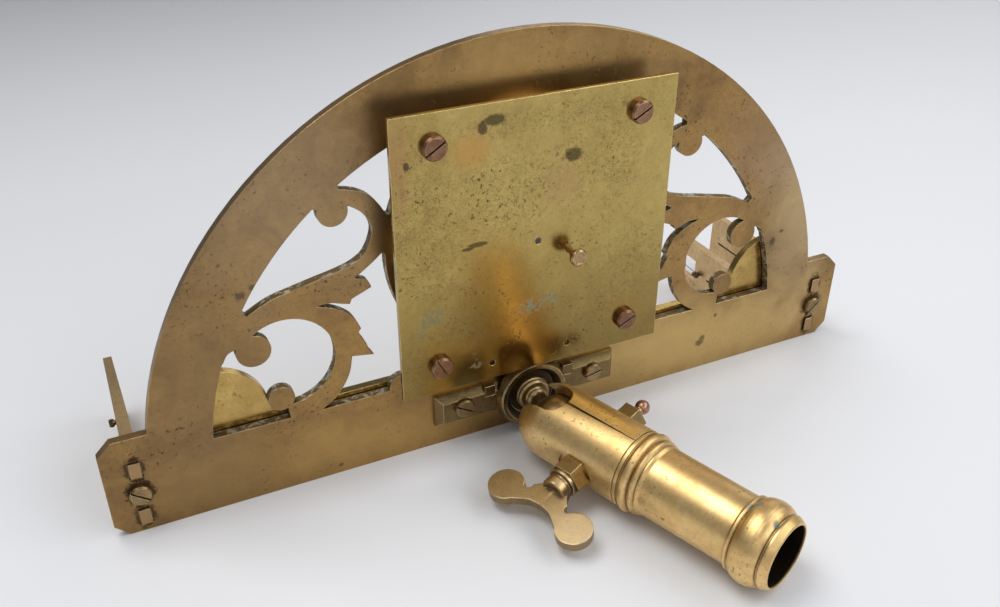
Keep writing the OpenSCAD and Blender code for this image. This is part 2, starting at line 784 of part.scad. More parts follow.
module wing() {
    wing_t = 3.4;
    color("#a07a40") socket_frame() translate([clamp_x, 0, 0]) difference() {
        union() {
            translate([0, 0, -wing_t - 0.4]) mirror([0, 1, 0]) linear_extrude(wing_t) wing_outline();
            translate([0, -clamp_seat, 0]) rotate([90, 0, 0]) rotate_extrude()
                polygon([[0, 6.1], [5.4, 6.1], [5.4, 7.3], [4.2, 7.7], [4.2, 8.4], [4.6, 8.8],
                    [4.6, 11.4], [4.3, 11.8], [3.7, 11.8], [2.7, 11.2], [0, 11]]);
        }
        rotate([90, 0, 0]) cylinder(r = clamp_r + snug, h = 23.05);
    }
}

limb();
compass_box();
back_plate();
plate_screws();
compass_dial();
degree_ring();
needle_pivot();
compass_needle();
needle_cap();
compass_glass();
glass_ring();
needle_lifter();
lock_knob();
fixed_vane_left();
fixed_vane_right();
fixed_vane_screws();
fixed_hairs();
fixed_hair_screws();
alidade();
turning_vane_left();
turning_vane_right();
turning_vane_screws();
turning_hairs();
turning_hair_screws();
bracket();
bracket_screws();
steady_pins();
hub_collar();
ball_stem();
stem_nut();
pivot_screw();
pivot_washer();
socket_tube();
clamp_jaw();
clamp_nut();
clamp_screw();
clamp_collar();
wing();
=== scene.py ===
"""Graphometer: looks, details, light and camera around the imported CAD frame. Lengths in metres."""
import bpy, bmesh, json, math
from mathutils import Matrix, Vector


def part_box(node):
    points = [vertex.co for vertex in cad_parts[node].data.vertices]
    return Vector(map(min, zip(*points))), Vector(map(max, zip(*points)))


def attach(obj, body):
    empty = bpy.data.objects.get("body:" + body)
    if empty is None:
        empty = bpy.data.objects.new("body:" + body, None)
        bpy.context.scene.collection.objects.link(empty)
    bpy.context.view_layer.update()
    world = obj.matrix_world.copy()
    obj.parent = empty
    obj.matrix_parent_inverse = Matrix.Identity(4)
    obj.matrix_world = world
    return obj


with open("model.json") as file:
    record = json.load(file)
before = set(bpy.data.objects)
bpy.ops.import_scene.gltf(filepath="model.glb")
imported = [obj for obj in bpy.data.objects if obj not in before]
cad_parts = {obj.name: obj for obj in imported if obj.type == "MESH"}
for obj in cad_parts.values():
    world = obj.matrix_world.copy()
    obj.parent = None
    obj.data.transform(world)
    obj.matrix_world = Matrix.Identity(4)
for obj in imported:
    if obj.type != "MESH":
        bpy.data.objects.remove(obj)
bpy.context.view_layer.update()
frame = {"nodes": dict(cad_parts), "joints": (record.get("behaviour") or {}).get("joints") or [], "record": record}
nodes = frame["nodes"]
MM = 0.001

# Reference places, from the CAD
limb_lo, limb_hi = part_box("limb")
BACK_Y = limb_lo.y                      # the limb's back face
FRONT_Y = limb_hi.y                     # its graduated face
ARC_Z = 15.8 * MM                       # the arc's centre, above the floor
hub = (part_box("hub_collar")[0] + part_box("hub_collar")[1]) / 2
plate_lo, plate_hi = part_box("back_plate")
compass = (plate_lo + plate_hi) / 2
bore = next(m for m in frame["record"]["mounts"] if m["name"] == "staff_bore")
bore_axis = Vector(bore["axis"])        # the socket's axis, towards its mouth
bore_middle = Vector(bore["pos_m"])
BALL_TO_BORE = 68.5 * MM                # from the ball's centre to the middle of the bore
ball_centre = bore_middle - bore_axis * BALL_TO_BORE
bore_side = Vector((bore_axis.y, -bore_axis.x, 0)).normalized()
bore_up = bore_side.cross(bore_axis)
screw_axis = Vector(next(j for j in frame["joints"] if j["name"] == "clamp_turn")["axis"])
wing_up = screw_axis.cross(bore_axis).normalized()
# the middle of the wing's lobe that is rubbed and carries a painted highlight
lobe_place = ball_centre + bore_axis * 34.6 * MM + screw_axis * 31.9 * MM - wing_up * 2 * MM


# ------------------------------------------------------------------ node helpers

class Nodes:
    """A material under construction. Every method returns an output socket."""

    def __init__(self, name):
        self.mat = bpy.data.materials.new(name)
        self.mat.use_nodes = True
        self.tree = self.mat.node_tree
        self.bsdf = self.tree.nodes["Principled BSDF"]
        self.rounded = None
        place = self.add("ShaderNodeTexCoord")
        self.coords, self.facing = place.outputs["Object"], place.outputs["Normal"]

    def add(self, kind, **props):
        node = self.tree.nodes.new(kind)
        for key, value in props.items():
            setattr(node, key, value)
        return node

    def put(self, socket, value):
        if isinstance(value, bpy.types.NodeSocket):
            self.tree.links.new(value, socket)
        elif isinstance(value, (tuple, list)) and len(value) == 3 and socket.type == "RGBA":
            socket.default_value = (*value, 1)
        else:
            socket.default_value = value

    def mapped(self, scale=(1, 1, 1), turn=(0, 0, 0), shift=(0, 0, 0)):
        node = self.add("ShaderNodeMapping")
        self.put(node.inputs["Vector"], self.coords)
        node.inputs["Scale"].default_value = scale
        node.inputs["Rotation"].default_value = turn
        node.inputs["Location"].default_value = shift
        return node.outputs[0]

    def noise(self, scale, detail=3, rough=0.55, bend=0, vector=None):
        node = self.add("ShaderNodeTexNoise")
        self.put(node.inputs["Vector"], vector or self.coords)
        for key, value in (("Scale", scale), ("Detail", detail), ("Roughness", rough),
                           ("Distortion", bend)):
            node.inputs[key].default_value = value
        return node.outputs[0]

    def cells(self, scale):
        node = self.add("ShaderNodeTexVoronoi")
        self.put(node.inputs["Vector"], self.coords)
        node.inputs["Scale"].default_value = scale
        return node.outputs["Distance"]

    def span(self, value, lo, hi, a=0.0, b=1.0):
        """value mapped from lo..hi to a..b, smoothly and clamped."""
        node = self.add("ShaderNodeMapRange", interpolation_type="SMOOTHSTEP")
        self.put(node.inputs["Value"], value)
        for key, v in (("From Min", lo), ("From Max", hi), ("To Min", a), ("To Max", b)):
            node.inputs[key].default_value = v
        return node.outputs[0]

    def calc(self, what, a, b=None, clamp=False):
        node = self.add("ShaderNodeMath", operation=what, use_clamp=clamp)
        self.put(node.inputs[0], a)
        if b is not None:
            self.put(node.inputs[1], b)
        return node.outputs[0]

    def mix(self, fac, a, b, blend="MIX"):
        node = self.add("ShaderNodeMix", data_type="RGBA", blend_type=blend)
        self.put(node.inputs[0], fac)
        self.put(node.inputs[6], a)
        self.put(node.inputs[7], b)
        return node.outputs[2]

    def fade(self, fac, a, b):
        node = self.add("ShaderNodeMix", data_type="FLOAT")
        self.put(node.inputs[0], fac)
        self.put(node.inputs[2], a)
        self.put(node.inputs[3], b)
        return node.outputs[0]

    def blob(self, centre, size, soft=0.5, rough=None):
        """1 inside an ellipsoid of half-sizes size round centre, 0 outside, with a ragged edge."""
        node = self.add("ShaderNodeMapping")
        node.inputs["Location"].default_value = [-c / s for c, s in zip(centre, size)]
        node.inputs["Scale"].default_value = [1 / s for s in size]
        self.put(node.inputs["Vector"], self.coords)
        length = self.add("ShaderNodeVectorMath", operation="LENGTH")
        self.put(length.inputs[0], node.outputs[0])
        d = length.outputs["Value"]
        if rough is not None:
            d = self.calc("ADD", d, self.calc("MULTIPLY", self.calc("SUBTRACT", rough, 0.5), 1.6))
        return self.span(d, 1 - soft, 1 + soft, 1, 0)

    def part(self, axis, vector=None):
        """The X, Y or Z value of a vector, the place on the object unless another is given."""
        node = self.add("ShaderNodeSeparateXYZ")
        self.put(node.inputs[0], vector or self.coords)
        return node.outputs[axis]

    def axis_distance(self, point, direction):
        """Distance of the place on the object from a line."""
        away = self.add("ShaderNodeVectorMath", operation="SUBTRACT")
        self.put(away.inputs[0], self.coords)
        away.inputs[1].default_value = point
        cross = self.add("ShaderNodeVectorMath", operation="CROSS_PRODUCT")
        self.put(cross.inputs[0], away.outputs[0])
        cross.inputs[1].default_value = Vector(direction).normalized()
        length = self.add("ShaderNodeVectorMath", operation="LENGTH")
        self.put(length.inputs[0], cross.outputs[0])
        return length.outputs["Value"]

    def edges(self, radius):
        """1 on outer and inner edges, 0 on flats. Keeps the rounded normal for the bumps."""
        bevel = self.add("ShaderNodeBevel", samples=4)
        bevel.inputs["Radius"].default_value = radius
        self.rounded = bevel.outputs[0]
        geo = self.add("ShaderNodeNewGeometry")
        dot = self.add("ShaderNodeVectorMath", operation="DOT_PRODUCT")
        self.put(dot.inputs[0], bevel.outputs[0])
        self.put(dot.inputs[1], geo.outputs["Normal"])
        return self.calc("SUBTRACT", 1.0, dot.outputs["Value"], clamp=True)

    def hollow(self, distance):
        """1 deep in corners and recesses, 0 in the open."""
        node = self.add("ShaderNodeAmbientOcclusion", samples=4, only_local=True)
        node.inputs["Distance"].default_value = distance
        return self.calc("SUBTRACT", 1.0, node.outputs["AO"], clamp=True)

    def bumps(self, *layers):
        """Layers of (height socket, strength, distance), from coarse to fine."""
        normal = self.rounded
        for height, strength, distance in layers:
            node = self.add("ShaderNodeBump")
            node.inputs["Strength"].default_value = strength
            node.inputs["Distance"].default_value = distance
            self.put(node.inputs["Height"], height)
            if normal is not None:
                self.put(node.inputs["Normal"], normal)
            normal = node.outputs[0]
        return normal

    def stain(self, color, shine, spot, tone, amount, dull=0.0):
        """color and shine with a spot laid over them: its tone by amount, and rougher by dull."""
        color = self.mix(self.calc("MULTIPLY", spot, amount), color, tone)
        if dull:
            shine = self.calc("ADD", shine, self.calc("MULTIPLY", spot, dull))
        return color, shine

    def finish(self, color, rough, normal, metallic=1.0):
        self.put(self.bsdf.inputs["Base Color"], color)
        self.put(self.bsdf.inputs["Roughness"], rough)
        self.put(self.bsdf.inputs["Metallic"], metallic)
        self.put(self.bsdf.inputs["Normal"], normal)
        return self.mat


SCRATCHED = 0.3                         # how deep the scratches are, 0 to 1


def aged(name, clean, worn, tarnish, dark, size=1.0, rough=(0.26, 0.5), wear=0.6, pits=0.5,
         grime_and_shade_strength=0.7, green=0.0, wear_r=0.5 * MM, hollow_r=2.5 * MM, stains=None):
    """Old brass: mottled tarnish, fine dark specks, scratches, worn edges, and grime with painted shade in the
    corners.

    clean is the metal, worn its colour where it is rubbed, tarnish the brown of the mottling and
    dark the colour of specks, grime and painted shade in corners. stains(nodes, color, rough) may add placed
    marks.
    """
    n = Nodes(name)
    broad = n.noise(16 / size, 4, 0.6, 0.4)
    middle = n.noise(95 / size, 5, 0.65, 0.6, n.mapped(shift=(3.1, 1.7, 5.3)))
    fine = n.noise(1300, 3, 0.7)
    grain = n.noise(5200, 2, 0.6)
    mottle = n.calc("ADD", n.calc("MULTIPLY", broad, 0.55), n.calc("MULTIPLY", middle, 0.45))
    color = n.mix(n.span(mottle, 0.36, 0.66), clean, tarnish)
    color = n.mix(n.span(fine, 0.42, 0.75, 0, 0.45), color, tarnish)
    color = n.mix(n.span(n.noise(430, 4, 0.7, 0.4), 0.35, 0.7, 0, 0.14), color, dark)
    shine = n.span(mottle, 0.35, 0.68, rough[0], rough[1])
    # specks come in loose groups
    group = n.span(n.noise(42 / size, 3, 0.6, 0.0, n.mapped(shift=(9, 4, 2))), 0.42, 0.66, 0.08, 1)
    speck = n.span(n.noise(800, 2, 0.5, 0.3, n.mapped(shift=(1, 8, 3))), 0.63 - 0.03 * pits, 0.71)
    dots = n.span(n.cells(420), 0.05, 0.14, 1, 0)
    speck = n.calc("MULTIPLY", n.calc("MAXIMUM", speck, n.calc("MULTIPLY", dots, 0.8)), group)
    speck = n.calc("MULTIPLY", speck, min(1.0, 0.45 + pits * 0.6))
    color = n.mix(speck, color, dark)
    shine = n.calc("ADD", shine, n.calc("MULTIPLY", speck, 0.3))
    if stains:
        color, shine = stains(n, color, shine)
    edge = n.edges(wear_r)
    rub = n.calc("MULTIPLY", n.span(edge, 0.004, 0.09),
                 n.span(n.noise(210, 3, 0.6), 0.3, 0.6, 0.35, 1))
    rub = n.calc("MULTIPLY", rub, wear)
    # Painted shade and grime: ambient occlusion finds corners and recesses, and their colour is mixed towards
    # dark.
    grime_and_painted_shade = n.hollow(hollow_r)
    grime_and_painted_shade = n.calc("MULTIPLY", n.span(grime_and_painted_shade, 0.16, 0.62), grime_and_shade_strength)
    rub = n.calc("MULTIPLY", rub, n.span(grime_and_painted_shade, 0.05, 0.4, 1, 0))
    color = n.mix(rub, color, worn)
    shine = n.fade(n.calc("MULTIPLY", rub, 0.8), shine, 0.24)
    color = n.mix(grime_and_painted_shade, color, dark)
    if green:
        crust = n.noise(330, 4, 0.7, 0.5, n.mapped(shift=(2, 2, 7)))
        spread = n.span(n.hollow(hollow_r * 2.2), 0.25, 0.6)
        patch = n.calc("MULTIPLY", spread, n.span(crust, 0.5, 0.62))
        patch = n.calc("MULTIPLY", patch, green)
        color = n.mix(patch, color, (0.42, 0.50, 0.42))
        metal = n.span(patch, 0.0, 0.6, 1, 0)
        shine = n.calc("ADD", shine, n.calc("MULTIPLY", patch, 0.4))
    else:
        metal = 1.0
    scratch = n.noise(260, 3, 0.6, 0.1, n.mapped(scale=(0.06, 1, 1), turn=(0.2, 0.3, 0.35)))
    scratch = n.span(scratch, 0.62, 0.70)
    uneven = n.calc("MULTIPLY", n.calc("SUBTRACT", grain, 0.5), 0.16)
    shine = n.calc("ADD", shine, uneven, clamp=True)
    normal = n.bumps((middle, 0.05, 0.4 * MM),
                     (n.calc("SUBTRACT", 1.0, speck), 0.35 * pits, 0.12 * MM),
                     (scratch, 0.10 * SCRATCHED, 0.05 * MM), (grain, 0.10, 0.03 * MM))
    return n.finish(color, shine, normal, metal)


# ------------------------------------------------------------------ materials

DEEP = 0.1      # a blob this deep along Y reaches through the part, so X and Z alone shape it


def at_plate(u, v):
    """A place on the back plate: u from left to right, v from top to bottom, 0 to 1."""
    return (plate_lo.x + u * (plate_hi.x - plate_lo.x), plate_lo.y,
            plate_hi.z - v * (plate_hi.z - plate_lo.z))


def plate_stains(n, color, shine):
    """Worm-like corrosion, orange halos, black dabs and verdigris of the square plate."""
    worm = n.noise(330, 5, 0.72, 1.6, n.mapped(shift=(5, 5, 5)))
    worm = n.span(n.calc("ABSOLUTE", n.calc("SUBTRACT", worm, 0.53)), 0.0, 0.022, 1, 0)
    fleck = n.span(n.noise(520, 4, 0.75, 0.8), 0.56, 0.62)
    soft = n.noise(60, 4, 0.6, 0.5, n.mapped(shift=(2, 7, 1)))
    zones = None
    for u, v, a, b in ((0.10, 0.35, 17, 26), (0.36, 0.30, 22, 16), (0.85, 0.75, 15, 22),
                       (0.62, 0.28, 11, 14), (0.80, 0.30, 8, 24), (0.30, 0.78, 22, 6),
                       (0.93, 0.95, 9, 8), (0.06, 0.9, 6, 14), (0.55, 0.08, 50, 5)):
        spot = n.blob(at_plate(u, v), (a * MM, DEEP, b * MM), 0.6, soft)
        zones = spot if zones is None else n.calc("MAXIMUM", zones, spot)
    marks = n.calc("MULTIPLY", n.calc("MAXIMUM", worm, n.calc("MULTIPLY", fleck, 0.5)), zones)
    grit = n.calc("MULTIPLY", n.span(n.noise(1100, 4, 0.8), 0.5, 0.66),
                  n.span(soft, 0.3, 0.7, 0.3, 1))
    color, shine = n.stain(color, shine, grit, (0.20, 0.145, 0.06), 0.4)
    color, shine = n.stain(color, shine, marks, (0.15, 0.10, 0.04), 0.7, 0.2)
    for u, v, a, b, tone, amount in (
            (0.26, 0.14, 6, 5, (0.50, 0.27, 0.08), 0.7),
            (0.45, 0.80, 9, 8, (0.48, 0.25, 0.07), 0.55),
            (0.58, 0.32, 6, 7, (0.42, 0.27, 0.11), 0.6),
            (0.87, 0.86, 8, 6, (0.52, 0.31, 0.08), 0.6),
            (0.19, 0.84, 5, 4, (0.60, 0.42, 0.10), 0.6),
            (0.52, 0.93, 8, 6, (0.50, 0.28, 0.07), 0.6),
            (0.02, 0.14, 4, 14, (0.38, 0.20, 0.09), 0.5)):
        spot = n.blob(at_plate(u, v), (a * MM, DEEP, b * MM), 0.7, soft)
        color, shine = n.stain(color, shine, spot, tone, amount)
    ragged = n.noise(560, 6, 0.85, 2.0)
    for u, v, a, b in ((0.28, 0.465, 3.6, 0.9), (0.245, 0.475, 2.2, 0.6), (0.62, 0.215, 3.2, 2.4),
                       (0.34, 0.055, 3.6, 1.8), (0.05, 0.155, 1.0, 1.3), (0.30, 0.075, 1.6, 2.2)):
        spot = n.blob(at_plate(u, v), (a * MM, DEEP, b * MM), 0.25, ragged)
        color, shine = n.stain(color, shine, spot, (0.075, 0.055, 0.03), 0.8, 0.2)
    crust = n.span(n.noise(640, 4, 0.7), 0.47, 0.55)
    for u, v, a, b, tone in (
            (0.48, 0.745, 5.5, 2.6, (0.42, 0.56, 0.47)), (0.56, 0.735, 3.0, 2.0, (0.42, 0.56, 0.47)),
            (0.075, 0.74, 1.6, 3.6, (0.34, 0.43, 0.33)), (0.27, 0.93, 2.6, 1.2, (0.62, 0.66, 0.52)),
            (0.265, 0.895, 1.0, 1.8, (0.66, 0.68, 0.54)), (0.12, 0.70, 4, 3, (0.36, 0.42, 0.26))):
        place = n.blob(at_plate(u, v), (a * MM, DEEP, b * MM), 0.5, ragged)
        spot = n.calc("MULTIPLY", place, crust)
        color, shine = n.stain(color, shine, spot, tone, 0.8, 0.35)
    return color, shine


VANE_X, TENON_Z = 139, 9.6              # the fixed vanes' places on the bar, in millimetres


def limb_stains(n, color, shine):
    """Golden smears on the bar, brown-violet bloom on the arc and a few dark marks."""
    soft = n.noise(40, 4, 0.6, 0.6, n.mapped(shift=(6, 1, 4)))
    for x, z, a, b, tone, amount in (
            (-95, -4, 34, 13, (0.46, 0.29, 0.10), 0.5), (-45, -6, 34, 13, (0.54, 0.34, 0.115), 0.7),
            (78, -2, 58, 17, (0.64, 0.45, 0.18), 0.8), (125, 62, 16, 42, (0.64, 0.49, 0.27), 0.6),
            (5, 122, 40, 10, (0.50, 0.33, 0.12), 0.5), (-80, 95, 30, 30, (0.40, 0.30, 0.19), 0.4),
            (-112, 34, 22, 44, (0.26, 0.17, 0.085), 0.5), (105, 80, 18, 18, (0.33, 0.22, 0.15), 0.4)):
        spot = n.blob((x * MM, BACK_Y, ARC_Z + z * MM), (a * MM, DEEP, b * MM), 0.8, soft)
        color, shine = n.stain(color, shine, spot, tone, amount)
    ragged = n.noise(500, 4, 0.75, 0.8)
    for x, z, a, b in (
            (81.5, -3.6, 1.9, 1.5), (82.8, -1.6, 1.2, 1.3), (-98, 64, 1.6, 1.3), (-94, 66, 1.0, 1.0),
            (112, 36, 1.3, 2.0), (116, 40, 1.1, 0.8), (-72, -12.5, 1.0, 0.8), (88, 8, 0.8, 0.7)):
        spot = n.blob((x * MM, BACK_Y, ARC_Z + z * MM), (a * MM, 4 * MM, b * MM), 0.4, ragged)
        color, shine = n.stain(color, shine, spot, (0.11, 0.08, 0.05), 0.7, 0.15)
    # grime round the vanes' tenons and screws, on both ears
    around = [(sx * VANE_X, sz * TENON_Z, 3.3, 4.8) for sx in (-1, 1) for sz in (-1, 1)]
    around += [(sx * VANE_X, 0, 4.9, 4.9) for sx in (-1, 1)]
    for x, z, a, b in around:
        spot = n.blob((x * MM, BACK_Y, ARC_Z + z * MM), (a * MM, DEEP, b * MM), 0.22, ragged)
        color, shine = n.stain(color, shine, spot, (0.05, 0.035, 0.022), 0.85, 0.2)
    # pale crust and grime on the walls of the openings
    wall = n.span(n.calc("ABSOLUTE", n.part("Y", n.facing)), 0.2, 0.6, 1, 0)
    inside = n.span(n.axis_distance((0, 0, ARC_Z), (0, 1, 0)), 117 * MM, 119 * MM, 1, 0)
    above = n.span(n.part("Z"), 16 * MM, 18 * MM)
    wall = n.calc("MULTIPLY", n.calc("MULTIPLY", wall, inside), above)
    crust = n.span(n.noise(260, 5, 0.75, 0.6), 0.48, 0.62)
    color = n.mix(n.calc("MULTIPLY", wall, 0.75), color, (0.16, 0.115, 0.06))
    color = n.mix(n.calc("MULTIPLY", n.calc("MULTIPLY", wall, crust), 0.85), color, (0.62, 0.62, 0.52))
    shine = n.calc("ADD", shine, n.calc("MULTIPLY", wall, 0.3))
    return color, shine


def socket_stains(n, color, shine):
    """Painted shade that makes the bore and the ball seat near black, and a dab of verdigris under the rim."""
    # Painted shade: the inside of the bore and the seat round the ball are made near black.
    near_axis = n.span(n.axis_distance(ball_centre, bore_axis), 10.85 * MM, 11.0 * MM, 1, 0)
    inner = n.calc("MULTIPLY", near_axis, n.blob(bore_middle, [26 * MM] * 3, 0.02))
    seat = n.blob(ball_centre, [10.3 * MM] * 3, 0.02)
    inner = n.calc("MAXIMUM", inner, n.calc("MULTIPLY", seat, 0.9))
    color, shine = n.stain(color, shine, inner, (0.012, 0.010, 0.008), 0.98, 0.6)
    crust = n.noise(420, 5, 0.75, 0.8)
    for along, side, up, size in ((79, 2, 14, 1.9), (80.5, 0, 14.2, 1.2), (88.3, 3, 12.2, 1.3)):
        place = ball_centre + (bore_axis * along + bore_side * side + bore_up * up) * MM
        spot = n.blob(place, [size * MM] * 3, 0.4, crust)
        color, shine = n.stain(color, shine, spot, (0.26, 0.33, 0.27), 0.85, 0.3)
    return color, shine


def collar_stains(n, color, shine):
    """Dark grime that fills the dish of the collar and leaves its rim bright."""
    radius = n.axis_distance(hub, (0, 1, 0))
    grime = n.calc("MULTIPLY", n.span(radius, 11.0 * MM, 11.8 * MM, 1, 0),
                   n.span(n.noise(300, 4, 0.6), 0.2, 0.5, 0.75, 1))
    color = n.mix(grime, color, (0.075, 0.052, 0.030))
    return color, n.calc("ADD", shine, n.calc("MULTIPLY", grime, 0.12))


def vane_stains(n, color, shine):
    """The tenons' ends behind the limb are as brown as the limb itself."""
    peg = n.span(n.part("Y"), BACK_Y + 0.6 * MM, BACK_Y + 1.4 * MM, 1, 0)
    return n.mix(n.calc("MULTIPLY", peg, 0.8), color, (0.33, 0.20, 0.09)), shine


def wing_stains(n, color, shine):
    """Painted shade on the wing's side walls; one lobe made lighter, rubbed brass with a painted highlight."""
    dot = n.add("ShaderNodeVectorMath", operation="DOT_PRODUCT")
    n.put(dot.inputs[0], n.facing)
    dot.inputs[1].default_value = wing_up
    # Painted shade: faces turned away from wing_up, the side walls, are darkened.
    side = n.span(n.calc("ABSOLUTE", dot.outputs["Value"]), 0.35, 0.8, 1, 0)
    # Rubbed brass with a painted highlight: one lobe is made lighter.
    rubbed = n.blob(lobe_place, [9 * MM] * 3, 0.6, n.noise(120, 3, 0.6))
    color = n.mix(n.calc("MULTIPLY", rubbed, 0.45), color, (0.92, 0.74, 0.48))
    color = n.mix(n.calc("MULTIPLY", side, 0.75), color, (0.13, 0.085, 0.04))
    return color, shine


def plate_gradient(n, color, shine):
    """The plate's stains, and a painted dark reflection that darkens it towards its lower edge."""
    color, shine = plate_stains(n, color, shine)
    # Painted reflection: the lowest 65 mm of the plate turn darker towards its lower edge.
    low = n.span(n.part("Z"), plate_lo.z, plate_lo.z + 65 * MM, 1, 0)
    return n.mix(n.calc("MULTIPLY", low, 0.72), color, (0.19, 0.125, 0.04)), shine


LIGHT = (0.78, 0.60, 0.34)              # brass rubbed bright
DARK = (0.075, 0.055, 0.035)            # specks, grime and painted shade in corners

brass = {
    "limb": aged("limb brass", (0.41, 0.25, 0.088), (0.78, 0.57, 0.28), (0.235, 0.14, 0.06),
                 (0.07, 0.035, 0.02), rough=(0.33, 0.46), wear=0.6, pits=1.1, grime_and_shade_strength=0.8, green=0.5,
                 wear_r=0.5 * MM, hollow_r=2.4 * MM, stains=limb_stains),
    "plate": aged("plate brass", (0.52, 0.39, 0.13), (0.84, 0.68, 0.32), (0.40, 0.285, 0.09),
                  (0.16, 0.11, 0.045), rough=(0.15, 0.26), wear=0.95, pits=0.9, grime_and_shade_strength=0.5,
                  green=0.15, wear_r=0.45 * MM, hollow_r=3 * MM, stains=plate_gradient),
    "case": aged("case brass", (0.50, 0.36, 0.15), LIGHT, (0.34, 0.22, 0.10), DARK, hollow_r=4 * MM,
                 green=0.3),
    "copper": aged("copper screws", (0.32, 0.18, 0.098), (0.76, 0.52, 0.34), (0.20, 0.10, 0.06),
                   (0.05, 0.03, 0.02), size=0.3, rough=(0.28, 0.46), wear=0.85, hollow_r=0.9 * MM,
                   wear_r=0.25 * MM, green=0.2),
    "knob": aged("knob brass", (0.44, 0.31, 0.155), (0.84, 0.62, 0.36), (0.40, 0.24, 0.12),
                 (0.10, 0.07, 0.04), size=0.3, rough=(0.22, 0.38), wear=0.9, hollow_r=0.9 * MM,
                 wear_r=0.35 * MM),
    "screw": aged("brass screws", (0.40, 0.28, 0.13), (0.78, 0.60, 0.33), (0.22, 0.145, 0.07), DARK,
                  size=0.3, rough=(0.28, 0.45), wear=0.9, hollow_r=0.9 * MM, wear_r=0.25 * MM),
    "dark screw": aged("dark brass screws", (0.16, 0.11, 0.06), (0.42, 0.31, 0.17),
                       (0.09, 0.06, 0.035), DARK, size=0.3, rough=(0.35, 0.5), wear=0.6,
                       hollow_r=0.6 * MM, wear_r=0.15 * MM),
    "vane": aged("vane brass", (0.74, 0.53, 0.28), (0.90, 0.72, 0.44), (0.58, 0.39, 0.19), DARK,
                 rough=(0.34, 0.48), wear=0.8, pits=0.7, hollow_r=1.2 * MM, wear_r=0.3 * MM,
                 stains=vane_stains),
    "alidade": aged("alidade brass", (0.62, 0.425, 0.14), (0.86, 0.67, 0.32), (0.42, 0.27, 0.085), DARK,
                    rough=(0.16, 0.28), wear=0.8, pits=0.6, hollow_r=2 * MM, green=0.25,
                    wear_r=0.35 * MM),
    "bracket": aged("bracket brass", (0.27, 0.19, 0.078), (0.80, 0.62, 0.32), (0.19, 0.13, 0.06), DARK,
                    size=0.5, rough=(0.24, 0.42), wear=1.0, grime_and_shade_strength=0.9, hollow_r=2.2 * MM, wear_r=0.35 * MM,
                    green=0.2),
    "collar": aged("collar brass", (0.42, 0.31, 0.14), (0.84, 0.66, 0.35), (0.22, 0.155, 0.075), DARK,
                   size=0.5, rough=(0.22, 0.36), wear=1.0, grime_and_shade_strength=0.6, hollow_r=3 * MM, wear_r=0.35 * MM,
                   stains=collar_stains),
    "socket": aged("socket brass", (0.95, 0.69, 0.32), (0.98, 0.80, 0.46), (0.76, 0.50, 0.20),
                   (0.05, 0.03, 0.015), size=0.7, rough=(0.34, 0.43), wear=0.55, pits=0.5, grime_and_shade_strength=1.0,
                   green=0.1, hollow_r=1.8 * MM, wear_r=0.35 * MM, stains=socket_stains),
    "ball": aged("ball brass", (0.46, 0.33, 0.155), (0.80, 0.62, 0.34), (0.23, 0.155, 0.075), DARK,
                 size=0.5, rough=(0.32, 0.44), wear=0.8, grime_and_shade_strength=0.9, hollow_r=2 * MM, wear_r=0.3 * MM),
    "clamp": aged("clamp brass", (0.58, 0.41, 0.18), (0.88, 0.70, 0.40), (0.34, 0.23, 0.10), DARK,
                  size=0.4, rough=(0.26, 0.38), wear=0.95, grime_and_shade_strength=0.9, hollow_r=1.6 * MM, wear_r=0.4 * MM),
    "tip": aged("clamp screw brass", (0.50, 0.29, 0.20), (0.80, 0.58, 0.42), (0.34, 0.19, 0.13), DARK,
                size=0.3, rough=(0.24, 0.38), wear=0.8, hollow_r=1.2 * MM, wear_r=0.4 * MM),
    "wing": aged("wing brass", (0.78, 0.565, 0.28), (0.96, 0.80, 0.55), (0.52, 0.355, 0.165), DARK,
                 size=0.5, rough=(0.32, 0.46), wear=1.0, pits=0.6, grime_and_shade_strength=0.9, hollow_r=2.2 * MM,
                 wear_r=0.5 * MM, stains=wing_stains),
    "ring": aged("ring brass", (0.60, 0.45, 0.21), (0.82, 0.65, 0.36), (0.44, 0.31, 0.14), DARK,
                 size=0.5, rough=(0.24, 0.36), wear=0.7, hollow_r=1.2 * MM),
}


def silvered():
    """Silvered brass of the dial: pale, fine-grained, yellowing where it has worn."""
    n = Nodes("silvered brass")
    cloud = n.noise(70, 5, 0.65, 0.4)
    color = n.mix(n.span(cloud, 0.38, 0.7), (0.72, 0.70, 0.62), (0.58, 0.50, 0.34))
    spot = n.span(n.noise(700, 3, 0.6), 0.66, 0.72)
    color = n.mix(spot, color, (0.20, 0.16, 0.10))
    grain = n.noise(4200, 2, 0.5)
    shine = n.span(cloud, 0.3, 0.7, 0.36, 0.52)
    return n.finish(color, shine, n.bumps((grain, 0.12, 0.04 * MM)), 0.85)


def blued():
    """Blued steel of the needle, browner where the colour has gone."""
    n = Nodes("blued steel")
    cloud = n.noise(160, 4, 0.6)
    color = n.mix(n.span(cloud, 0.4, 0.7), (0.045, 0.075, 0.17), (0.15, 0.12, 0.12))
    color = n.mix(n.span(n.edges(0.2 * MM), 0.01, 0.1, 0, 0.6), color, (0.4, 0.42, 0.46))
    shine = n.span(cloud, 0.3, 0.7, 0.2, 0.34)
    return n.finish(color, shine, n.bumps((n.noise(3000), 0.08, 0.03 * MM)))


def steel():
    """Dull steel of the point that carries the needle."""
    n = Nodes("pin steel")
    cloud = n.noise(400, 4, 0.6)
    color = n.mix(n.span(cloud, 0.4, 0.75), (0.16, 0.14, 0.12), (0.08, 0.06, 0.045))
    return n.finish(color, n.span(cloud, 0.3, 0.7, 0.28, 0.5), n.bumps((cloud, 0.1, 0.05 * MM)))


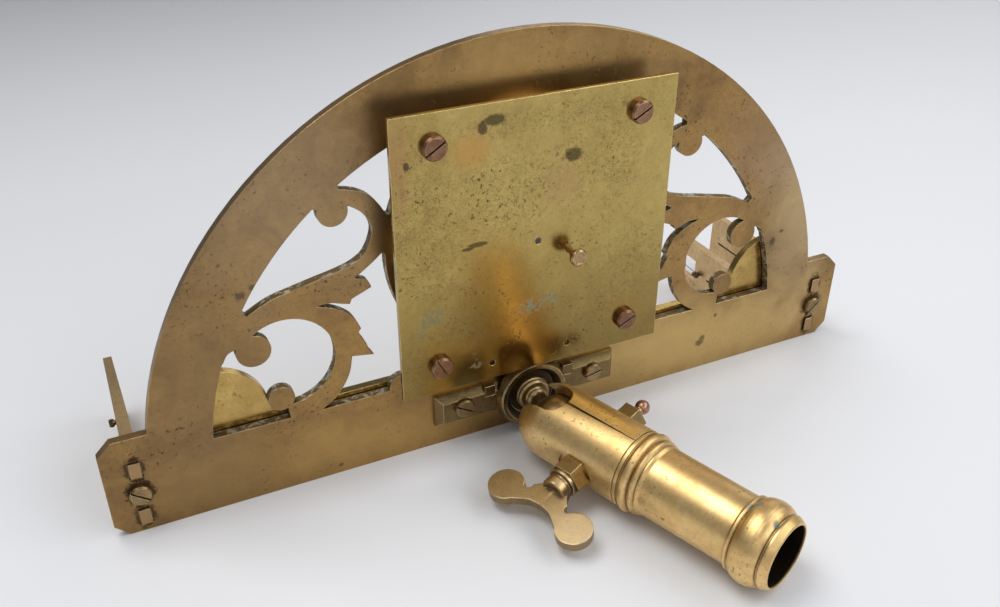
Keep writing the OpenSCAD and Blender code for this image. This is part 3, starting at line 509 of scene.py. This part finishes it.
def hair():
    """Dark horsehair in the vanes' windows."""
    n = Nodes("horsehair")
    strand = n.noise(900, 3, 0.6)
    color = n.mix(strand, (0.05, 0.035, 0.025), (0.12, 0.08, 0.05))
    return n.finish(color, n.span(strand, 0.3, 0.7, 0.4, 0.6), n.bumps((strand, 0.1, 0.03 * MM)), 0.0)


def ink():
    """Black wax in the engraved lines and figures, a little worn."""
    n = Nodes("engraving wax")
    cloud = n.noise(900, 4, 0.7)
    color = n.mix(n.span(cloud, 0.55, 0.75), (0.018, 0.015, 0.012), (0.16, 0.115, 0.06))
    return n.finish(color, n.span(cloud, 0.3, 0.7, 0.5, 0.7), n.bumps((cloud, 0.1, 0.03 * MM)), 0.0)


def glass():
    """Old window glass: clear, slightly wavy, with faint dust."""
    n = Nodes("compass glass")
    wave = n.noise(45, 2, 0.5)
    dust = n.span(n.noise(900, 4, 0.7), 0.55, 0.8)
    n.bsdf.inputs["Transmission Weight"].default_value = 1.0
    n.bsdf.inputs["IOR"].default_value = 1.5
    shine = n.calc("MULTIPLY", dust, 0.12)
    return n.finish((0.95, 0.98, 0.97), shine, n.bumps((wave, 0.05, 0.2 * MM)), 0.0)


dial_silver, needle_blue, pin_steel = silvered(), blued(), steel()
horsehair, wax, clear = hair(), ink(), glass()


# ------------------------------------------------------------------ CAD nodes

def dress(name, material, bevel=0.0):
    """Gives a CAD node its material. A bevel in millimetres rounds its sharp edges as well."""
    obj = nodes[name]
    me = obj.data
    me.materials.clear()
    me.materials.append(material)
    if not bevel:
        return
    if "custom_normal" in me.attributes:
        me.attributes.remove(me.attributes["custom_normal"])
    me.shade_smooth()
    weld = obj.modifiers.new("weld", "WELD")
    weld.merge_threshold = 2e-6
    mod = obj.modifiers.new("edges", "BEVEL")
    mod.width = bevel * MM
    mod.segments = 3
    mod.limit_method = "ANGLE"
    mod.angle_limit = math.radians(32)
    normals = obj.modifiers.new("normals", "WEIGHTED_NORMAL")
    normals.keep_sharp = True


for key, names in (
        ("limb", "limb"), ("case", "compass_box"), ("plate", "back_plate"), ("copper", "plate_screws"),
        ("ring", "glass_ring needle_lifter needle_cap pivot_washer"), ("knob", "lock_knob"),
        ("vane", "fixed_vane_left fixed_vane_right turning_vane_left turning_vane_right"),
        ("screw", "fixed_vane_screws turning_vane_screws bracket_screws pivot_screw"),
        ("dark screw", "fixed_hair_screws turning_hair_screws"), ("alidade", "alidade"),
        ("bracket", "bracket steady_pins"), ("collar", "hub_collar"), ("ball", "ball_stem stem_nut"),
        ("socket", "socket_tube clamp_jaw"), ("clamp", "clamp_nut clamp_collar"), ("tip", "clamp_screw")):
    for name in names.split():
        dress(name, brass[key])
dress("wing", brass["wing"], 0.5)
for name, material in (
        ("compass_dial", dial_silver), ("degree_ring", dial_silver), ("needle_pivot", pin_steel),
        ("compass_needle", needle_blue), ("fixed_hairs", horsehair), ("turning_hairs", horsehair),
        ("compass_glass", clear)):
    dress(name, material)


# ------------------------------------------------------------------ engraving

LIFT = 0.03 * MM                        # the wax stands this much above the metal


class Engraving:
    """Waxed lines, shapes and figures on one face that looks along +Y, as one piece."""

    def __init__(self, centre, y):
        self.centre, self.y = centre, y
        self.bm = bmesh.new()

    def place(self, x, z, dy=0.0):
        return (self.centre[0] + x, self.y + dy, self.centre[1] + z)

    def shape(self, outline):
        """A thin raised shape with this outline of (x, z) places."""
        low = [self.bm.verts.new(self.place(x, z, -LIFT)) for x, z in outline]
        high = [self.bm.verts.new(self.place(x, z, LIFT)) for x, z in outline]
        self.bm.faces.new(low)
        self.bm.faces.new(high[::-1])
        for i, _ in enumerate(outline):
            j = (i + 1) % len(outline)
            self.bm.faces.new((low[i], high[i], high[j], low[j]))

    def tick(self, angle, r0, r1, width):
        """A line along the radius at this angle, counted in degrees from +X towards +Z."""
        c, d = math.cos(math.radians(angle)), math.sin(math.radians(angle))
        corners = ((r0, -width / 2), (r1, -width / 2), (r1, width / 2), (r0, width / 2))
        self.shape([(r * c - s * d, r * d + s * c) for r, s in corners])

    def circle(self, radius, width, start=0, end=360, steps=180):
        """A line round the centre, in short pieces."""
        for i in range(steps):
            a, b = (math.radians(start + (end - start) * k / steps) for k in (i, i + 1))
            corners = ((radius, a), (radius + width, a), (radius + width, b), (radius, b))
            self.shape([(r * math.cos(t), r * math.sin(t)) for r, t in corners])

    def figure(self, text, angle, radius, height):
        """A number that stands on the radius and reads from outside."""
        curve = bpy.data.curves.new("figure", "FONT")
        curve.body, curve.size, curve.extrude = text, height, LIFT
        curve.align_x, curve.align_y, curve.resolution_u = "CENTER", "CENTER", 3
        obj = bpy.data.objects.new("figure", curve)
        me = obj.to_mesh()
        c, d = math.cos(math.radians(angle)), math.sin(math.radians(angle))
        me.transform(Matrix(((-d, c, 0, self.centre[0] + radius * c), (0, 0, 1, self.y),
                             (c, d, 0, self.centre[1] + radius * d), (0, 0, 0, 1))))
        self.bm.from_mesh(me)
        obj.to_mesh_clear()
        bpy.data.objects.remove(obj)
        bpy.data.curves.remove(curve)

    def finish(self, name, body):
        """Makes the piece and lets it ride on a CAD body."""
        bmesh.ops.recalc_face_normals(self.bm, faces=self.bm.faces)
        me = bpy.data.meshes.new(name)
        self.bm.to_mesh(me)
        self.bm.free()
        me.materials.append(wax)
        obj = bpy.data.objects.new(name, me)
        bpy.context.scene.collection.objects.link(obj)
        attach(obj, body)


# The limb's scale: a tick for each degree, longer at every 5 and 10, and figures both ways
END_LEAN = {0: 1.4, 180: -1.4}          # the end figures stand this many degrees off their ticks
scale = Engraving((0, ARC_Z), FRONT_Y)
for degree in range(181):
    outer = 129.4 if degree % 5 else 131 if degree % 10 else 132.6
    scale.tick(degree, 127.2 * MM, outer * MM, (0.16 if degree % 5 else 0.22) * MM)
    if degree % 10 == 0:
        place = degree + END_LEAN.get(degree, 0)
        scale.figure(str(degree), place, 124.2 * MM, 4.6 * MM)
        scale.figure(str(180 - degree), place, 118.4 * MM, 3.6 * MM)
for radius in (121.4, 127.0, 132.8):
    scale.circle(radius * MM, 0.16 * MM, 0, 180)
scale.finish("limb_scale", "limb")

# The compass: ticks and bearings on the degree ring, a rose of 16 rays on the dial
bearings = Engraving((compass.x, compass.z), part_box("degree_ring")[1].y)
for degree in range(0, 360, 2):
    bearings.tick(degree, 36.0 * MM, (37.0 if degree % 10 else 37.8) * MM, 0.14 * MM)
for degree in range(0, 360, 30):
    bearings.figure(str(degree), 90 + degree, 39.1 * MM, 2.3 * MM)
bearings.finish("compass_bearings", "limb")

rose = Engraving((compass.x, compass.z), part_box("compass_dial")[1].y)
for k in range(16):
    a = math.radians(22.5 * k + 90)
    reach = (29 if k % 4 == 0 else 22 if k % 2 == 0 else 15) * MM
    waist = (5.2 if k % 4 == 0 else 4.6) * MM
    b = a + math.radians(22.5 if k % 4 == 0 else 14)
    corners = ((waist * 0.72, a), (reach, a), (waist, b))
    rose.shape([(r * math.cos(t), r * math.sin(t)) for r, t in corners])
for radius, width in ((30.2, 0.3), (31.2, 0.12), (11.5, 0.12)):
    rose.circle(radius * MM, width * MM)
rose.finish("compass_rose", "limb")

# A vernier at each end of the alidade, and its zero line carried inwards
vernier = Engraving((hub.x, ARC_Z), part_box("alidade")[1].y)
for side in (0, 180):
    for k in range(-5, 6):
        outer = 132.2 if k % 5 else 132.7
        vernier.tick(side + k * 1.1, 129.4 * MM, outer * MM, (0.14 if k else 0.24) * MM)
    vernier.tick(side, 120 * MM, 129.4 * MM, 0.2 * MM)
vernier.finish("alidade_vernier", "alidade")

# ------------------------------------------------------------------ floor, light, camera

def floor_material():
    """A pale floor with painted shade: it turns grey with the distance behind the object, where less light falls.
    """
    n = Nodes("pale floor")
    cloud = n.noise(2.2, 3, 0.5)
    color = n.mix(n.span(cloud, 0.3, 0.7), (0.765, 0.78, 0.81), (0.745, 0.76, 0.795))
    # Painted shade: from 0 to 1.2 m behind the object the floor darkens, standing in for the light's fall-off.
    color = n.mix(n.span(n.part("Y"), 0.0, 1.2), color, (0.34, 0.345, 0.36))
    return n.finish(color, 0.55, n.bumps((n.noise(900, 2, 0.5), 0.04, 0.05 * MM)), 0.0)


# The floor runs back, bends up and ends as a wall
FLOOR_FRONT, BEND_Y, BEND_R, BEND_STEPS, WALL_TOP, HALF_WIDTH = -3.0, 1.1, 0.8, 12, 3.0, 4
me = bpy.data.meshes.new("floor")
bm = bmesh.new()
profile = [(FLOOR_FRONT, 0.0), (BEND_Y, 0.0)]
for i in range(1, BEND_STEPS + 1):
    a = math.pi / 2 * i / BEND_STEPS
    profile.append((BEND_Y + BEND_R * math.sin(a), BEND_R - BEND_R * math.cos(a)))
profile.append((BEND_Y + BEND_R, WALL_TOP))
rows = [[bm.verts.new((x, y, z)) for y, z in profile] for x in (-HALF_WIDTH, HALF_WIDTH)]
for i in range(len(profile) - 1):
    bm.faces.new((rows[0][i], rows[1][i], rows[1][i + 1], rows[0][i + 1]))
bm.to_mesh(me)
bm.free()
me.shade_smooth()
floor = bpy.data.objects.new("floor", me)
floor.data.materials.append(floor_material())
bpy.context.scene.collection.objects.link(floor)

world = bpy.data.worlds.new("studio")
bpy.context.scene.world = world
world.use_nodes = True
background = world.node_tree.nodes["Background"]
background.inputs["Color"].default_value = (0.92, 0.945, 1.0, 1)
background.inputs["Strength"].default_value = 0.28


def soft_light(name, place, size, power, color):
    """A rectangular lamp at a place, turned towards the middle of the object."""
    data = bpy.data.lights.new(name, "AREA")
    data.shape = "RECTANGLE"
    data.size, data.size_y = size
    data.energy = power
    data.color = color
    obj = bpy.data.objects.new(name, data)
    obj.location = place
    obj.rotation_euler = (AIM - Vector(place)).to_track_quat("-Z", "Y").to_euler()
    bpy.context.scene.collection.objects.link(obj)


AIM = Vector((0, 0, 0.05))
soft_light("key", (-0.5, 0.25, 1.5), (1.2, 0.8), 14.5, (1, 0.98, 0.95))
soft_light("right", (0.9, -0.2, 1.0), (1.0, 0.9), 5.5, (1, 0.98, 0.96))
soft_light("back right", (0.8, 0.95, 0.5), (0.9, 0.6), 1.6, (1, 0.99, 0.97))
soft_light("camera fill", (-0.55, -1.15, 0.85), (1.0, 0.8), 2, (1, 0.99, 0.97))
soft_light("front fill", (0.7, -1.3, 1.0), (1.2, 0.8), 8, (0.95, 0.97, 1))

cam_data = bpy.data.cameras.new("camera")
cam_data.sensor_width = 36
cam_data.lens = 35.5
cam = bpy.data.objects.new("camera", cam_data)
bpy.context.scene.collection.objects.link(cam)
CAMERA_PLACE = (-0.13919, BACK_Y - 0.27031, ARC_Z + 0.21807)
yaw, pitch, roll = math.radians(25.69), math.radians(30.92), math.radians(0.10)
look = Vector((math.sin(yaw) * math.cos(pitch), math.cos(yaw) * math.cos(pitch), -math.sin(pitch)))
right = Vector((math.cos(yaw), -math.sin(yaw), 0))
up = right.cross(look)
c, d = math.cos(roll), math.sin(roll)
right, up = right * c + up * d, up * c - right * d
turn = Matrix((right, up, -look)).transposed().to_4x4()
cam.matrix_world = Matrix.Translation(CAMERA_PLACE) @ turn
cam_data.clip_start = 0.01
cam_data.clip_end = 20
bpy.context.scene.camera = cam
bpy.context.scene.view_settings.view_transform = "Standard"
